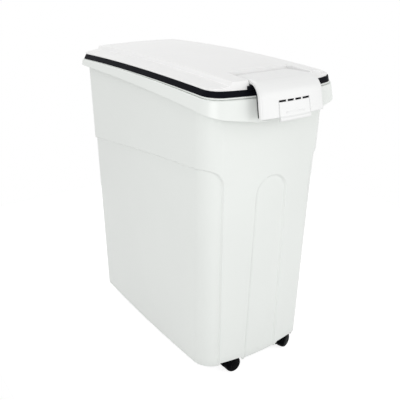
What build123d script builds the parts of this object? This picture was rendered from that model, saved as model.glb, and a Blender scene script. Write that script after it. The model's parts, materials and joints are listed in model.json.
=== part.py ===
from build123d import *
import math
import os

# Rolling pet food bin: a deep tapered tub on four twin-wheel casters, a crowned lid with a side
# seal, a hinge at the back, and a snap latch with a release flap at the front.
# Millimetres. X is the width, the front faces -Y, Z is up, and the floor is at z = 0.

# Tub
tub_lift = 27.0                 # underside of the tub above the floor
tub_height = 530.0              # underside to the step below the rim
wall = 2.6
floor_thickness = 3.0
base_half_width = 129.8
base_front = -219.9
base_back = 234.2
base_bow = 5.0                  # how far the long sides bulge at their middle
top_half_width = 136.8
top_front = -239.1
top_back = 245.0
top_bow = 3.0
front_radius = 450.0            # plan radius of the front face
back_radius = 900.0             # plan radius of the back face
base_front_corner = 46.0
top_front_corner = 41.0
base_back_corner = 21.0
top_back_corner = 26.0

# Pressed-in panels of the tub
panel_depth = 3.6
panel_top_front = 419.5         # height of the panels' top line at the front
panel_top_middle = 399.5
panel_top_back = 366.0
panel_edge_low = 95.5           # half distance between the panels' front edges at the base
panel_edge_high = 101.5
panel_edge_height = 387.0
panel_corner = 32.0
arch_half_low = 38.7
arch_half_high = 34.6
arch_spring = 356.0
arch_top = 391.0

# Rim and skirt, sized from the plan of the seal's lower edge
rim_half_width = 137.0
rim_front = -250.6
rim_back = 265.0
rim_bow = 3.6
rim_front_corner = 34.0
rim_back_corner = 20.0
rim_front_radius = 450.0
seal_foot = 550.8               # height of the seal's lower edge at the middle of the crown
seal_height = 9.5
seal_lean = 4.9                 # how far the seal's face leans in over its height
crown_centre = 4.6              # y of the highest point of the lid
crown_radius = 4900.0
skirt_outset = 1.9
skirt_flare = 0.2               # outward run of the skirt for each millimetre down
skirt_wall = 2.6
rim_wall_inset = 5.5            # inner face of the rim wall, in from the seal's edge
web_front = 540.3               # height of the skirt's top at the front, middle and back
web_middle = 549.0
web_back = 543.0
skirt_low_front = 499.0         # the skirt's lower edge dips towards the front
skirt_low_turn = 521.5
skirt_low_back = 532.0
skirt_dip_start = -80.0         # y where the dip begins, and of a point half way along it
skirt_dip_turn = -185.0
bead_outset = 0.9
seat_gap = 0.3                  # soft seal to the bead it sits on
notch_half = 38.0               # finger notch in the skirt below the latch
notch_top = 514.0

# Lid
lid_wall = 2.6
flange_height = 2.3
flange_proud = 0.3              # lid's edge outside the seal's upper edge
deck_half = 97.0
deck_height = 574.4
deck_slope = 4.0
deck_foot_height = 567.3
deck_rise = 2.2                 # crown of the deck across its width
deck_front = -238.0
deck_back = 248.0
deck_end_slope = 4.0
plug_clearance = 1.6            # plug wall to the rim wall
plug_wall = 2.4
plug_depth = 10.0
bay_half_rear = 66.0            # latch bay in the deck
bay_half_front = 71.5
bay_rear_top = -180.5
bay_rear_foot = -188.5
bay_floor_height = 565.5
trough_rear = -188.8
trough_front = -205.5
trough_floor = 554.6

# Latch
hood_axis_y = 184.0             # plan centre of the hood's curved front
hood_half_angle = 8.6           # degrees
hood_wall = 2.6
hood_depth = 7.0
hood_bevel = 4.6
hood_top = 569.2
hood_bend_y = -250.0
hood_shoulder = (-266.0, 561.5)
hood_brow = (-275.0, 547.0)
hood_lip = (-282.6, 511.5)
latch_pin_y = -197.0
latch_pin_z = 562.2
latch_pin_radius = 2.0
latch_pin_half = 51.0
knuckle_radius = 3.9
lug_inner = 44.0
lug_outer = 50.0
lug_foot_rear = 0.9             # the lugs' feet end here behind the pin, clear of the hood's roll
knuckle_half = 55.2             # half length of the hood's knuckle and rear roll
rear_roll_radius = 7.0

# Release flap in the hood
flap_half_angle = 4.08          # degrees
flap_top = 535.4
flap_gap = 0.5                  # saw cut between flap and hood
hinge_line = 538.0
tab_thickness = 1.2
tab_width = 2.2
tab_drop = 0.3                  # top of the webs below the hinge line
tab_lean = 0.4                  # how far the webs' lower ends stand forward
flap_tip_y = -285.6
flap_tip_low = 504.5
flap_tip_high = 511.0
hook_half = 20.0
hook_reach = -271.4
hook_low = 516.0
hook_high = 519.4
catch_half = 24.0
catch_front = -270.2
catch_low = 520.8
catch_high = 525.2

# Lid hinge at the back
hinge_y = 277.6
hinge_z = 545.6
hinge_pin_radius = 2.4
hinge_centre_x = 75.0
hinge_arm_width = 10.0
hinge_ear_width = 5.0
hinge_side_gap = 0.6
arm_step = 1.6                  # thickness of the hinge arm at its root, and past the seal
arm_height = 4.7
ear_radius = 5.9
arm_radius = 5.4

# Casters
wheel_radius = 17.0
wheel_width = 16.0
wheel_tread = 9.0
wheel_gap = 4.4                 # between the two wheels
trail = 10.0                    # swivel axis to axle
axle_radius = 2.5
axle_bite = 11.0                # depth of the axle in each wheel
run_gap = 0.08                  # radial running clearance
press_gap = 0.02                # axle in the yoke
end_gap = 0.4                   # past the ends of axles and stems in their bores
wheel_edge = 0.8                # chamfer beside the web
wheel_hub_share = 0.55          # hub radius to wheel radius
caster_x = 69.0
caster_front_y = -195.0
caster_back_y = 202.0
caster_turns = {"front_left": 92.0, "front_right": 112.0, "back_left": 98.0, "back_right": 75.0}
well_radius = 33.0              # clears the wheels' outer corners at every turn
well_height = 17.0
well_window = 7.3               # height of the wheel windows in the front wall
well_window_half = 26.0
well_window_corner = 5.0
boss_radius = 8.5
stem_radius = 3.9
stem_top = 41.0
stem_bite = 7.0                 # depth of the stem in the yoke
collar_radius = 7.0
collar_thickness = 1.7
yoke_top = 15.3
yoke_boss_radius = 7.5
yoke_web = 3.6
web_below_axle = 2.5
fender_gap = 0.8
fender_wall = 1.8
fender_reach = 16.4             # the fender's furthest point from the swivel axis
fender_low = 3.0                # the fender's lower edge above the axle
fender_short = 1.0              # the fender's sides in from the wheels' faces

reach = 400.0                   # longer than anything it cuts
bite = 0.01                     # overlap by which two shapes fuse
front_end = flap_tip_y
back_end = hinge_y + ear_radius
depth_shift = -(front_end + back_end) / 2


def plan(half_width, front, back, bow, nose_radius, front_corner, back_corner):
    """Closed plan: a curved front and back, bowed sides and rounded corners."""
    front_side = front + nose_radius - math.sqrt(nose_radius**2 - half_width**2)
    back_side = back - back_radius + math.sqrt(back_radius**2 - half_width**2)
    middle = (front_side + back_side) / 2
    edges = [
        ThreePointArc((-half_width, front_side), (0, front), (half_width, front_side)),
        ThreePointArc((half_width, front_side), (half_width + bow, middle), (half_width, back_side)),
        ThreePointArc((half_width, back_side), (0, back), (-half_width, back_side)),
        ThreePointArc((-half_width, back_side), (-half_width - bow, middle), (-half_width, front_side)),
    ]
    face = make_face(edges)
    face = fillet(face.vertices().sort_by(Axis.Y)[:2], front_corner)
    corners = [v for v in face.vertices() if abs(v.Y - back_side) < 1e-6 and abs(abs(v.X) - half_width) < 1e-6]
    return fillet(corners, back_corner)


def body_plan(z, inset):
    """The tub's plan at height z, drawn in by inset."""
    share = z / tub_height

    def between(low, high):
        return low + (high - low) * share

    return plan(
        between(base_half_width, top_half_width) - inset,
        between(base_front, top_front) + inset,
        between(base_back, top_back) - inset,
        between(base_bow, top_bow),
        front_radius - inset,
        between(base_front_corner, top_front_corner) - inset,
        between(base_back_corner, top_back_corner) - inset,
    )


def body_block(inset, low, high):
    """Solid between two heights of the tub's tapered form."""
    return loft([Pos(0, 0, low) * body_plan(low, inset), Pos(0, 0, high) * body_plan(high, inset)], ruled=True)


def rim_plan(outset):
    """Plan of the seal's lower edge, moved out by outset."""
    return plan(
        rim_half_width + outset,
        rim_front - outset,
        rim_back + outset,
        rim_bow,
        rim_front_radius + outset,
        rim_front_corner + outset,
        rim_back_corner + outset,
    )


def rim_block(outset_low, outset_high, low, high):
    """Solid between two heights, from one outset of the rim plan to another."""
    return loft([Pos(0, 0, low) * rim_plan(outset_low), Pos(0, 0, high) * rim_plan(outset_high)], ruled=True)


def back_sag(x):
    """How far the curved back of the rim has fallen in at x."""
    return back_radius - math.sqrt(back_radius**2 - x**2)


def below(front_z, middle_z, back_z):
    """All space under an arc through three heights, at the rim's front, middle and back."""
    middle_y = (rim_front + rim_back) / 2
    arc = ThreePointArc((rim_front, front_z), (middle_y, middle_z), (rim_back, back_z))
    start = arc @ 0 - (arc % 0) * reach / 4
    end = arc @ 1 + (arc % 1) * reach / 4
    lines = [Line(start, arc @ 0), arc, Line(arc @ 1, end), Polyline(end, (end.X, -reach), (start.X, -reach), start)]
    return extrude(Plane.YZ * make_face(lines), reach, both=True)


def below_dip():
    """All space under the skirt's lower edge, level at the back and dipping to the front."""
    level = Line((reach, skirt_low_back), (skirt_dip_start, skirt_low_back))
    front_y = rim_front - skirt_outset - skirt_flare * (seal_foot - skirt_low_front)
    turn = (skirt_dip_turn, skirt_low_turn)
    dip = ThreePointArc((skirt_dip_start, skirt_low_back), turn, (front_y, skirt_low_front))
    front = dip @ 1 + (dip % 1) * reach / 4
    rest = Polyline(front, (front.X, -reach), (reach, -reach), (reach, skirt_low_back))
    return extrude(Plane.YZ * make_face([level, dip, Line(dip @ 1, front), rest]), reach, both=True)


def crown_drop(y):
    """How far the lid's crown has fallen at y."""
    return crown_radius - math.sqrt(crown_radius**2 - (y - crown_centre) ** 2)


def below_crown(height):
    """All space under the crown whose top is at height."""
    return below(height - crown_drop(rim_front), height, height - crown_drop(rim_back))


def crowned(points, rise=0.0):
    """A half profile in X and Z, mirrored and swept along the crown, its top bowed up by rise."""
    outline = points + [(-x, z) for x, z in reversed(points) if x > 0]
    section = Plane(origin=(0, crown_centre, 0), x_dir=(1, 0, 0), z_dir=(0, -1, 0))
    face = make_face(Polyline(outline, close=True))
    if rise > 0:
        edge_x, edge_z = points[-2]
        bow = ThreePointArc((-edge_x, edge_z), (0, edge_z + rise), (edge_x, edge_z))
        face = face + make_face([bow, Line((edge_x, edge_z), (-edge_x, edge_z))])
    face = section * face
    sweep_angle = 2 * math.degrees(math.asin(reach / crown_radius))
    axis = Axis((0, crown_centre, deck_height - crown_radius), (1, 0, 0))
    return revolve(face.rotate(axis, -sweep_angle / 2), axis, sweep_angle)


def side_prism(points, half_width):
    """A closed outline in Y and Z, extruded to both sides of the middle."""
    return extrude(Plane.YZ * make_face(Polyline(points, close=True)), half_width, both=True)


def rod_x(radius, y, z, x_low, x_high):
    """A round bar along X."""
    return Pos((x_low + x_high) / 2, y, z) * Rot(0, 90, 0) * Cylinder(radius, x_high - x_low)


def rod_z(radius, x, y, z_low, z_high):
    """A round bar along Z."""
    return Pos(x, y, (z_low + z_high) / 2) * Cylinder(radius, z_high - z_low)


def block(x_low, x_high, y_low, y_high, z_low, z_high):
    """A rectangular block from its corners."""
    size = (x_high - x_low, y_high - y_low, z_high - z_low)
    middle = ((x_low + x_high) / 2, (y_low + y_high) / 2, (z_low + z_high) / 2)
    return Pos(*middle) * Box(*size)


def panel_zone(grow):
    """Space in which the tub's faces are pressed in: side and corner panels, and the front arch."""
    low = -reach / 8
    lean = (panel_edge_high - panel_edge_low) / panel_edge_height
    foot_x = panel_edge_low + low * lean - grow
    high_x = panel_edge_high - grow
    radius = panel_corner + grow
    top = panel_edge_height + radius
    bend = radius * (1 - math.sqrt(0.5))
    lines = [
        Line((foot_x, low), (high_x, panel_edge_height)),
        ThreePointArc((high_x, panel_edge_height), (high_x + bend, top - bend), (high_x + radius, top)),
        Polyline((high_x + radius, top), (reach, top), (reach, low), (foot_x, low)),
    ]
    side = extrude(Plane.XZ * make_face(lines), reach, both=True)
    side = side & below(panel_top_front + grow, panel_top_middle + grow, panel_top_back + grow)
    sides = side + mirror(side, Plane.YZ)
    spring_x = arch_half_high + grow
    arch_lines = [
        Line((-arch_half_low - grow, low), (-spring_x, arch_spring)),
        ThreePointArc((-spring_x, arch_spring), (0, arch_top + grow), (spring_x, arch_spring)),
        Line((spring_x, arch_spring), (arch_half_low + grow, low)),
        Line((arch_half_low + grow, low), (-arch_half_low - grow, low)),
    ]
    arch = extrude(Plane.XZ * make_face(arch_lines), reach)
    return sides + arch


def tub_form(inset, low, high):
    """The tub's tapered form with its panels, drawn in by inset."""
    raised = body_block(inset, low, high) - panel_zone(inset)
    return raised + body_block(inset + panel_depth, low, high)


def caster_places():
    """Name, swivel centre and rest turn of each caster."""
    for name, turn in caster_turns.items():
        x = -caster_x if name.endswith("left") else caster_x
        y = caster_front_y if name.startswith("front") else caster_back_y
        yield name, x, y, turn


def wheel_window(x):
    """Low opening in the tub's front wall through which a front wheel can swing."""
    size = (2 * well_window_half, 2 * well_window)
    outline = RectangleRounded(*size, well_window_corner)
    return Pos(x, caster_front_y, 0) * extrude(Plane.XZ * outline, 2 * well_radius)


def make_tub():
    shell = tub_form(0, 0, tub_height + wall)
    shell = shell - tub_form(wall, floor_thickness, tub_height + 2 * wall)

    inside = tub_form(wall / 2, 0, well_height + wall)
    cavity = tub_form(wall, -wall, well_height)
    for name, x, y, turn in caster_places():
        shell = shell + (rod_z(well_radius + wall, x, y, 0, well_height + wall) & inside)
        shell = shell + rod_z(boss_radius, x, y, well_height, stem_top + wall)
        shell = shell - (rod_z(well_radius, x, y, -wall, well_height) & cavity)
        if y == caster_front_y:
            shell = shell - wheel_window(x)
        shell = shell - rod_z(stem_radius, x, y, well_height - wall, stem_top)

    step_low = tub_height
    step = rim_block(wall - rim_wall_inset, wall - rim_wall_inset, step_low, step_low + wall)
    step = step - body_block(wall, step_low - wall, step_low + 2 * wall)
    rim_wall = rim_block(wall - rim_wall_inset, wall - rim_wall_inset, step_low, seal_foot)
    rim_wall = rim_wall - rim_block(-rim_wall_inset, -rim_wall_inset, step_low - wall, seal_foot + wall)
    web_top = below(web_front, web_middle, web_back)
    web_low = below(web_front - wall, web_middle - wall, web_back - wall)
    rim_wall = rim_wall & web_top

    flare_high = skirt_outset
    skirt_base = skirt_low_front - wall
    flare_low = skirt_outset + skirt_flare * (seal_foot - skirt_base)
    skirt_form = rim_block(flare_low, flare_high, skirt_base, seal_foot)
    skirt_hollow = rim_block(flare_low - skirt_wall, flare_high - skirt_wall, skirt_base, seal_foot)
    skirt = skirt_form - skirt_hollow
    skirt = skirt & web_top
    skirt = skirt - below_dip()
    skirt = skirt - block(-notch_half, notch_half, -reach, -reach / 2, skirt_base, notch_top)
    web = (skirt_form & web_top) - web_low
    web = web - rim_block(-rim_wall_inset, -rim_wall_inset, skirt_base, seal_foot + wall)

    bead = rim_block(bead_outset, bead_outset, skirt_base, seal_foot)
    bead = bead - rim_block(-rim_wall_inset, -rim_wall_inset, skirt_base - wall, seal_foot + wall)
    bead = bead & below_crown(seal_foot - seat_gap)
    bead = bead - web_low

    catch_root = rim_front - skirt_outset
    catch = block(-catch_half, catch_half, catch_front, catch_root, catch_low, catch_high)

    tub = shell + step + rim_wall + skirt + web + bead + catch
    return tub + hinge_ears()


def hinge_ears():
    """Two pairs of ears on the back of the skirt, bored for the hinge pins."""
    furthest = hinge_centre_x + hinge_arm_width / 2 + hinge_side_gap + hinge_ear_width
    root = rim_back + skirt_outset - back_sag(furthest) - skirt_wall / 2
    foot = [
        (root, hinge_z - 2 * ear_radius),
        (rim_back + skirt_outset, hinge_z - 2 * ear_radius),
        (hinge_y + ear_radius * math.sqrt(0.5), hinge_z - ear_radius * math.sqrt(0.5)),
        (hinge_y, hinge_z),
        (root, hinge_z - ear_radius / 2),
    ]
    inner = hinge_centre_x - hinge_arm_width / 2 - hinge_side_gap
    outer = hinge_centre_x + hinge_arm_width / 2 + hinge_side_gap
    ears = None
    for side in (-1, 1):
        for low, high in ((inner - hinge_ear_width, inner), (outer, outer + hinge_ear_width)):
            x_low, x_high = sorted((side * low, side * high))
            ear = rod_x(ear_radius, hinge_y, hinge_z, x_low, x_high)
            ear = ear + Pos((x_low + x_high) / 2, 0, 0) * side_prism(foot, hinge_ear_width / 2)
            ear = ear - rod_x(hinge_pin_radius + run_gap, hinge_y, hinge_z, x_low - 1, x_high + 1)
            ears = ear if ears is None else ears + ear
    return ears


def lid_form(inset):
    """The lid's outer form, drawn in by inset: a flange, a sloping apron and the raised deck."""
    edge = rim_half_width + rim_bow - seal_lean
    flange_top = seal_foot + seal_height + flange_height
    low = flange_top - reach / 8
    apron = crowned([(0, low), (reach / 2, low), (reach / 2, flange_top - inset), (edge, flange_top - inset),
                     (deck_half + deck_slope - inset, deck_foot_height - inset), (0, deck_foot_height - inset)])
    deck = crowned([(0, low), (deck_half + deck_slope - inset, low),
                    (deck_half + deck_slope - inset, deck_foot_height - inset),
                    (deck_half - inset, deck_height - inset), (0, deck_height - inset)], deck_rise)
    ends = [
        (deck_front - deck_end_slope + inset, low - reach / 8),
        (deck_front - deck_end_slope + inset, deck_foot_height - crown_drop(deck_front) - inset),
        (deck_front + inset, deck_height - crown_drop(deck_front)),
        (deck_front + inset, deck_height + wall),
        (deck_back - inset, deck_height + wall),
        (deck_back - inset, deck_height - crown_drop(deck_back)),
        (deck_back + deck_end_slope - inset, deck_foot_height - crown_drop(deck_back) - inset),
        (deck_back + deck_end_slope - inset, low - reach / 8),
    ]
    deck = deck & side_prism(ends, reach)
    return apron + deck - latch_bay(inset)


def latch_bay(grow):
    """Space cut out of the deck for the latch, made larger by grow."""
    outline = Polyline(
        (-bay_half_rear - grow, bay_rear_top + grow),
        (bay_half_rear + grow, bay_rear_top + grow),
        (bay_half_front + grow, -reach),
        (-bay_half_front - grow, -reach),
        close=True,
    )
    column = extrude(Pos(0, 0, seal_foot - reach / 10) * make_face(outline), reach)
    floor = bay_floor_height - grow
    profile = [
        (bay_rear_top + grow, deck_height + wall),
        (bay_rear_foot + grow, floor - crown_drop(bay_rear_foot)),
        (trough_rear + grow, floor - crown_drop(trough_rear)),
        (trough_rear + grow, trough_floor - grow),
        (trough_front - grow, trough_floor - grow),
        (trough_front - grow, floor - crown_drop(trough_front)),
        (rim_front - wall, floor - crown_drop(rim_front)),
        (-reach, floor - crown_drop(rim_front)),
        (-reach, deck_height + wall),
    ]
    return column & side_prism(profile, reach)


def make_lid():
    edge = -seal_lean + flange_proud
    outer = lid_form(0) & rim_block(edge, edge, seal_foot - reach / 8, deck_height + wall)
    outer = outer - below_crown(seal_foot + seal_height)
    plug_outset = -(rim_wall_inset + plug_clearance)
    hollow_outset = plug_outset - plug_wall
    hollow = rim_block(hollow_outset, hollow_outset, seal_foot - reach / 8, deck_height + wall)
    hollow = hollow & lid_form(lid_wall)
    plug = rim_block(plug_outset, plug_outset, seal_foot - reach / 8, seal_foot + seal_height + flange_height)
    plug = plug & below_crown(seal_foot + seal_height + seat_gap)
    plug = plug - below_crown(seal_foot - plug_depth) - latch_bay(0)
    lid = outer + plug - hollow

    for side in (-1, 1):
        x_low, x_high = sorted((side * lug_inner, side * lug_outer))
        lug = rod_x(knuckle_radius, latch_pin_y, latch_pin_z, x_low, x_high)
        lug = lug + block(x_low, x_high, latch_pin_y - knuckle_radius, latch_pin_y + lug_foot_rear,
                          trough_floor - wall / 2, latch_pin_z)
        lid = lid + lug
    lid = lid - rod_x(latch_pin_radius + run_gap, latch_pin_y, latch_pin_z, -lug_outer - 1, lug_outer + 1)

    return lid + hinge_arm(-1) + hinge_arm(1)


def hinge_arm(side):
    """One arm from the lid's flange over the seal to its hinge pin."""
    middle = side * hinge_centre_x
    half = hinge_arm_width / 2
    root = rim_back - seal_lean - back_sag(hinge_centre_x + half) - 2 * wall
    low = seal_foot + seal_height + seat_gap - crown_drop(root)
    outline = [
        (root, low),
        (root, low + arm_step),
        (rim_back - seal_lean, low + arm_height),
        (rim_back + seal_lean, low + arm_height),
        (hinge_y + arm_radius * math.sqrt(0.5), hinge_z + arm_radius * math.sqrt(0.5)),
        (hinge_y, hinge_z),
        (hinge_y - arm_radius, hinge_z),
        (rim_back + seal_lean - wall / 2, low - wall),
        (rim_back - wall / 2, low),
    ]
    arm = Pos(middle, 0, 0) * side_prism(outline, half)
    arm = arm + rod_x(arm_radius, hinge_y, hinge_z, middle - half, middle + half)
    return arm - rod_x(hinge_pin_radius + run_gap, hinge_y, hinge_z, middle - half - 1, middle + half + 1)


def make_seal():
    inner = -(rim_wall_inset + plug_clearance) + seat_gap
    slope = seal_lean / seal_height
    spread = reach / 20
    low = seal_foot - spread
    high = seal_foot + seal_height + spread
    ring = rim_block(slope * spread, -seal_lean - slope * spread, low, high)
    ring = ring - rim_block(inner, inner, low - 1, high + 1)
    return (ring & below_crown(seal_foot + seal_height)) - below_crown(seal_foot)


def hood_curve(inset):
    """Outline of the hood's skin in Y and Z, from the rear over the top and down the front."""
    tilt = math.atan2(hood_brow[0] - hood_lip[0], hood_brow[1] - hood_lip[1])
    in_y = inset * math.cos(tilt)
    in_z = inset * math.sin(tilt)
    lean = math.sqrt(0.5) * inset
    rear = (latch_pin_y, hood_top - inset)
    bend = (hood_bend_y, hood_top - inset)
    shoulder = (hood_shoulder[0] + lean, hood_shoulder[1] - lean)
    brow = (hood_brow[0] + in_y, hood_brow[1] - in_z)
    lip = (hood_lip[0] + in_y, hood_lip[1])
    return [Line(rear, bend), ThreePointArc(bend, shoulder, brow), Line(brow, lip)]


def skin_face(outer_inset, inner_inset):
    """Closed face between two insets of the hood's curve."""
    outer = hood_curve(outer_inset)
    inner = hood_curve(inner_inset)
    ends = [Line(outer[0] @ 0, inner[0] @ 0), Line(outer[2] @ 1, inner[2] @ 1)]
    return make_face(outer + inner + ends)


def hood_sector(face, half_angle):
    """Revolve a face in Y and Z about the hood's plan centre, to both sides of the middle."""
    axis = Axis((0, hood_axis_y, 0), (0, 0, 1))
    return revolve((Plane.YZ * face).rotate(axis, -half_angle), axis, 2 * half_angle)


def hood_block(outer_inset, inner_inset, side_inset, bevel):
    """The hood's skin as a thick sector with bevelled side edges."""
    half_angle = hood_half_angle - math.degrees(side_inset / (hood_axis_y - hood_lip[0]))
    sector = hood_sector(skin_face(outer_inset, inner_inset), half_angle)
    curve = hood_curve(outer_inset)
    edges = [edge for edge in sector.edges() if is_side_edge(edge, half_angle, curve)]
    return chamfer(edges, bevel)


def is_side_edge(edge, half_angle, curve):
    """Whether an edge of the sector lies in a side plane and on the hood's curve."""
    middle = edge @ 0.5
    angle = math.degrees(math.atan2(middle.X, hood_axis_y - middle.Y))
    span = hood_axis_y - math.hypot(middle.X, hood_axis_y - middle.Y)
    off_curve = min(line.distance_to(Vector(span, middle.Z, 0)) for line in curve)
    return abs(abs(angle) - half_angle) < 0.01 and off_curve < 0.01


def make_hood():
    hood = hood_block(0, hood_depth, 0, hood_bevel)
    inner_bevel = hood_bevel - hood_wall * (2 - math.sqrt(2))
    hood = hood - hood_block(hood_wall, hood_depth + wall, hood_wall, inner_bevel)
    roll = rod_x(rear_roll_radius, latch_pin_y, latch_pin_z, -knuckle_half, knuckle_half)
    roll = roll - rod_x(rear_roll_radius - hood_wall, latch_pin_y, latch_pin_z, -reach, reach)
    roll = roll & block(-reach, reach, latch_pin_y, latch_pin_y + reach, latch_pin_z + wall, hood_top + wall)
    knuckle = rod_x(knuckle_radius, latch_pin_y, latch_pin_z, -knuckle_half, knuckle_half)
    knuckle = knuckle + block(-knuckle_half, knuckle_half, latch_pin_y - knuckle_radius,
                              latch_pin_y + knuckle_radius, latch_pin_z, hood_top - hood_wall / 2)
    for side in (-1, 1):
        x_low, x_high = sorted((side * (lug_inner - hinge_side_gap), side * (lug_outer + hinge_side_gap)))
        gap = block(x_low, x_high, latch_pin_y - 2 * knuckle_radius, latch_pin_y + 2 * knuckle_radius,
                    latch_pin_z - 2 * knuckle_radius, hood_top - hood_wall)
        knuckle = knuckle - gap
    hood = hood + roll + knuckle
    hood = hood - rod_x(latch_pin_radius + run_gap, latch_pin_y, latch_pin_z, -reach, reach)
    window = [(-reach, flap_low_limit()), (-reach, hinge_line), (latch_pin_y - reach / 10, hinge_line),
              (latch_pin_y - reach / 10, flap_low_limit())]
    side_gap = math.degrees(flap_gap / (hood_axis_y - hood_lip[0]))
    opening = hood_sector(make_face(Polyline(window, close=True)), flap_half_angle + side_gap)
    return hood - opening


def flap_low_limit():
    """A height below everything on the latch."""
    return flap_tip_low - wall


def flap_hinge_y():
    """Middle of the flap's thickness at its hinge line, on the centre line."""
    share = (hood_brow[1] - hinge_line) / (hood_brow[1] - hood_lip[1])
    return hood_brow[0] + (hood_lip[0] - hood_brow[0]) * share + hood_wall / 2


def make_flap():
    skin = hood_sector(skin_face(0, hood_wall), flap_half_angle)
    skin = skin & block(-reach, reach, -reach, 0, hood_lip[1], flap_top)
    inner_y = hood_lip[0] + hood_wall
    tip = [
        (hood_lip[0], hood_lip[1] + bite),
        (flap_tip_y, flap_tip_high),
        (flap_tip_y, flap_tip_low + wall / 2),
        (flap_tip_y + wall / 2, flap_tip_low),
        (inner_y, flap_tip_low),
        (inner_y, hood_lip[1] + bite),
    ]
    lip = hood_sector(make_face(Polyline(tip, close=True)), flap_half_angle)
    hook = block(-hook_half, hook_half, inner_y - wall, hook_reach, hook_low, hook_high)
    flap = skin + lip + hook
    tab_step = flap_half_angle / 2
    tab_low = flap_top - wall
    tab_front = flap_hinge_y() - tab_thickness / 2
    tab_rear = flap_hinge_y() + tab_thickness / 2
    tab = [
        (tab_front, hinge_line - tab_drop),
        (tab_rear, hinge_line - tab_drop),
        (tab_rear - tab_lean, tab_low),
        (tab_front - tab_lean, tab_low),
    ]
    axis = Axis((0, hood_axis_y, 0), (0, 0, 1))
    tab_half = math.degrees(tab_width / 2 / (hood_axis_y - hood_lip[0]))
    for step in (-1, 0, 1):
        piece = hood_sector(make_face(Polyline(tab, close=True)), tab_half)
        flap = flap + piece.rotate(axis, step * tab_step)
    return flap


def make_latch_pin():
    return rod_x(latch_pin_radius, latch_pin_y, latch_pin_z, -latch_pin_half, latch_pin_half)


def make_hinge_pin(side):
    half = hinge_arm_width / 2 + hinge_side_gap + hinge_ear_width
    middle = side * hinge_centre_x
    return rod_x(hinge_pin_radius, hinge_y, hinge_z, middle - half, middle + half)


def make_stem():
    """Steel stem of a caster on its swivel axis, with the collar that the well's roof bears on."""
    stem = rod_z(stem_radius, 0, 0, yoke_top - stem_bite, stem_top - end_gap)
    collar = rod_z(collar_radius, 0, 0, well_height - collar_thickness, well_height)
    return stem + collar


def make_yoke():
    """Swivelling middle web with a fender over both wheels and a boss for the stem."""
    axle_z = wheel_radius - tub_lift
    fender_inner = wheel_radius + fender_gap
    fender_outer = fender_inner + fender_wall
    half = wheel_gap / 2 + wheel_width - fender_short
    fender = rod_x(fender_outer, -trail, axle_z, -half, half) - rod_x(fender_inner, -trail, axle_z, -reach, reach)
    fender = fender & rod_z(fender_reach, 0, 0, axle_z + fender_low, yoke_top)
    web = rod_x(fender_inner + fender_wall / 2, -trail, axle_z, -yoke_web / 2, yoke_web / 2)
    web = web & block(-reach, reach, -reach, reach, axle_z - axle_radius - web_below_axle, reach)
    boss = rod_z(yoke_boss_radius, 0, 0, axle_z + wheel_radius, yoke_top)
    boss = boss - rod_x(fender_inner, -trail, axle_z, -reach, reach)
    yoke = fender + web + boss
    yoke = yoke - rod_x(axle_radius + press_gap, -trail, axle_z, -reach, reach)
    return yoke - rod_z(stem_radius + run_gap, 0, 0, yoke_top - stem_bite - end_gap, reach)


def make_axle():
    half = wheel_gap / 2 + axle_bite
    return rod_x(axle_radius, -trail, wheel_radius - tub_lift, -half, half)


def make_wheel(side):
    """A domed wheel with a flat tread beside the web and a blind bore."""
    dome_width = wheel_width - wheel_tread
    hub = wheel_radius * wheel_hub_share
    start = wheel_gap / 2
    bulge_x = start + wheel_tread + dome_width * math.sqrt(0.5)
    bulge_r = hub + (wheel_radius - hub) * math.sqrt(0.5)
    bore = axle_radius + run_gap
    bore_end = start + axle_bite + end_gap
    lines = [
        Polyline((start, bore), (start, wheel_radius - wheel_edge), (start + wheel_edge, wheel_radius),
                 (start + wheel_tread, wheel_radius)),
        ThreePointArc((start + wheel_tread, wheel_radius), (bulge_x, bulge_r), (start + wheel_width, hub)),
        Polyline((start + wheel_width, hub), (start + wheel_width, 0), (bore_end, 0), (bore_end, bore), (start, bore)),
    ]
    wheel = revolve(make_face(lines), Axis.X, 360)
    wheel = Pos(0, -trail, wheel_radius - tub_lift) * wheel
    return wheel if side > 0 else mirror(wheel, Plane.YZ)


def place_caster(shape, x, y, turn):
    return Pos(x, y, 0) * Rot(0, 0, turn) * shape


nodes = {
    "tub": make_tub(),
    "lid": make_lid(),
    "lid_seal": make_seal(),
    "latch_hood": make_hood(),
    "release_flap": make_flap(),
    "latch_pin": make_latch_pin(),
    "hinge_pin_left": make_hinge_pin(-1),
    "hinge_pin_right": make_hinge_pin(1),
}
for name, x, y, turn in caster_places():
    nodes["caster_stem_" + name] = place_caster(make_stem(), x, y, turn)
    nodes["caster_yoke_" + name] = place_caster(make_yoke(), x, y, turn)
    nodes["caster_axle_" + name] = place_caster(make_axle(), x, y, turn)
    nodes["wheel_outer_" + name] = place_caster(make_wheel(-1), x, y, turn)
    nodes["wheel_inner_" + name] = place_caster(make_wheel(1), x, y, turn)

os.makedirs("parts", exist_ok=True)
for name, shape in nodes.items():
    export_step(Pos(0, depth_shift, tub_lift) * shape, "parts/" + name + ".step")
    box = shape.bounding_box()
    print(name, len(shape.solids()), [round(v, 1) for v in (*box.min, *box.max)])
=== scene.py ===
import json
import math
import bmesh
import bpy
import numpy as np
from mathutils import Euler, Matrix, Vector, geometry


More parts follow.
